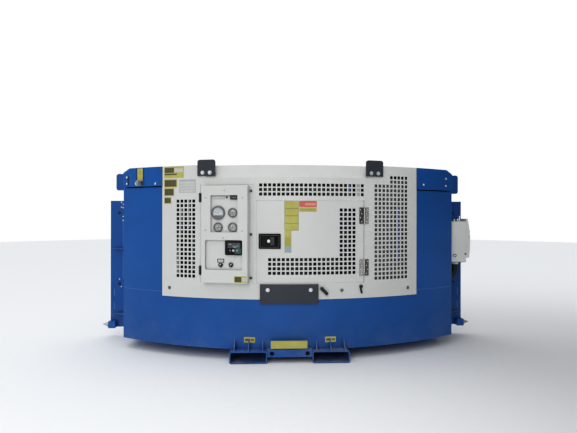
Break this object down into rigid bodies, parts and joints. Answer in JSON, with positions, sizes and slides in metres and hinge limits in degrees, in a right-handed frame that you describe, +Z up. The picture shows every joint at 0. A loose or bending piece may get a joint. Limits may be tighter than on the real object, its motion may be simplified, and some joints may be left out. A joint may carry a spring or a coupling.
{
  "type": "clip-on diesel generator set",
  "caption": "Clip-on diesel generator set in a bowed sheet-steel enclosure on fork pockets, with a hinged access door and a swing-out control panel.",
  "frame": {"origin": "on the ground, in the middle of the width and of the depth", "axes": "+X to the right as one faces the bowed front, +Y to the back, which hangs on the container, +Z up"},
  "size_m": [2.474, 0.595, 1.118],
  "materials": {
    "blue": "gloss blue enamel",
    "notice": "yellow film on steel",
    "white": "satin off-white powder coat",
    "charcoal": "matt charcoal powder coat",
    "stainless": "brushed stainless",
    "bright": "zinc plated",
    "black_plastic": "black moulded",
    "rubber": "black rubber",
    "grey_box": "pale grey moulded",
    "black_steel": "black enamel",
    "engine_paint": "grey enamel on castings",
    "alternator_paint": "dark grey enamel",
    "radiator_core": "black finned core",
    "silencer_steel": "aluminised steel",
    "battery_case": "black case"
  },
  "bodies": {
    "enclosure": {"fork_pocket_left": "blue", "fork_pocket_right": "blue", "front_cross_beam": "blue", "pocket_gussets": "blue", "base_floor": "blue", "front_skirt": "blue", "wing_left": "blue", "wing_right": "blue", "side_wall_left": "blue", "side_wall_right": "blue", "rear_wall": "blue", "rear_post_left": "blue", "rear_post_right": "blue", "upper_tabs": "blue", "corner_cover_left": "blue", "corner_cover_right": "blue", "notice_bar": "notice", "roof": "white", "hood": "white", "left_panel": "white", "right_panel": "white", "header_panel": "white", "sill_panel": "white", "door_mullion": "white", "lift_brackets": "charcoal", "bumper_plate": "charcoal", "door_hinge_fixed": "stainless", "cover_toggle": "stainless", "lower_clamps": "bright", "control_hinge_fixed": "black_plastic", "sill_stay": "black_plastic", "cable_elbow": "rubber", "sill_stop": "rubber", "receptacle_box": "grey_box", "receptacle_lid": "grey_box", "fuel_tank": "black_steel", "engine": "engine_paint", "alternator": "alternator_paint", "radiator": "radiator_core", "radiator_fan": "radiator_core", "silencer": "silencer_steel", "exhaust_pipe": "silencer_steel", "battery": "battery_case"},
    "door": {"access_door": "white", "door_hinge_moving": "stainless", "latch_dish": "black_plastic"},
    "paddle": {"latch_paddle": "black_plastic"},
    "control_panel": {"control_door": "white", "control_hinge_moving": "black_plastic", "instrument_plate": "white", "gauges": "bright", "hour_meter": "black_plastic", "controller": "black_plastic", "control_screws": "black_plastic"},
    "knob_left": {"selector_knob_left": "black_plastic"},
    "knob_right": {"selector_knob_right": "black_plastic"}
  },
  "joints": [
    {"name": "door_swing", "type": "hinge", "parent": "enclosure", "child": "door", "pos_m": [0.41102, -0.22441, 0.66], "axis": [0, 0, 1], "range_deg": [0, 110]},
    {"name": "paddle_pull", "type": "hinge", "parent": "door", "child": "paddle", "pos_m": [-0.16537, -0.25658, 0.663], "axis": [0, 0, -1], "range_deg": [0, 35], "stiffness_Nm_per_rad": 0.05},
    {"name": "control_swing", "type": "hinge", "parent": "enclosure", "child": "control_panel", "pos_m": [-0.51338, -0.19997, 0.704], "axis": [0, 0, -1], "range_deg": [0, 100]},
    {"name": "knob_left_turn", "type": "hinge", "parent": "control_panel", "child": "knob_left", "pos_m": [-0.3913, -0.25073, 0.53383], "axis": [-0.1832, -0.9831, 0], "range_deg": [-45, 45]},
    {"name": "knob_right_turn", "type": "hinge", "parent": "control_panel", "child": "knob_right", "pos_m": [-0.33369, -0.26146, 0.53383], "axis": [-0.1832, -0.9831, 0], "range_deg": [-45, 45]}
  ]
}
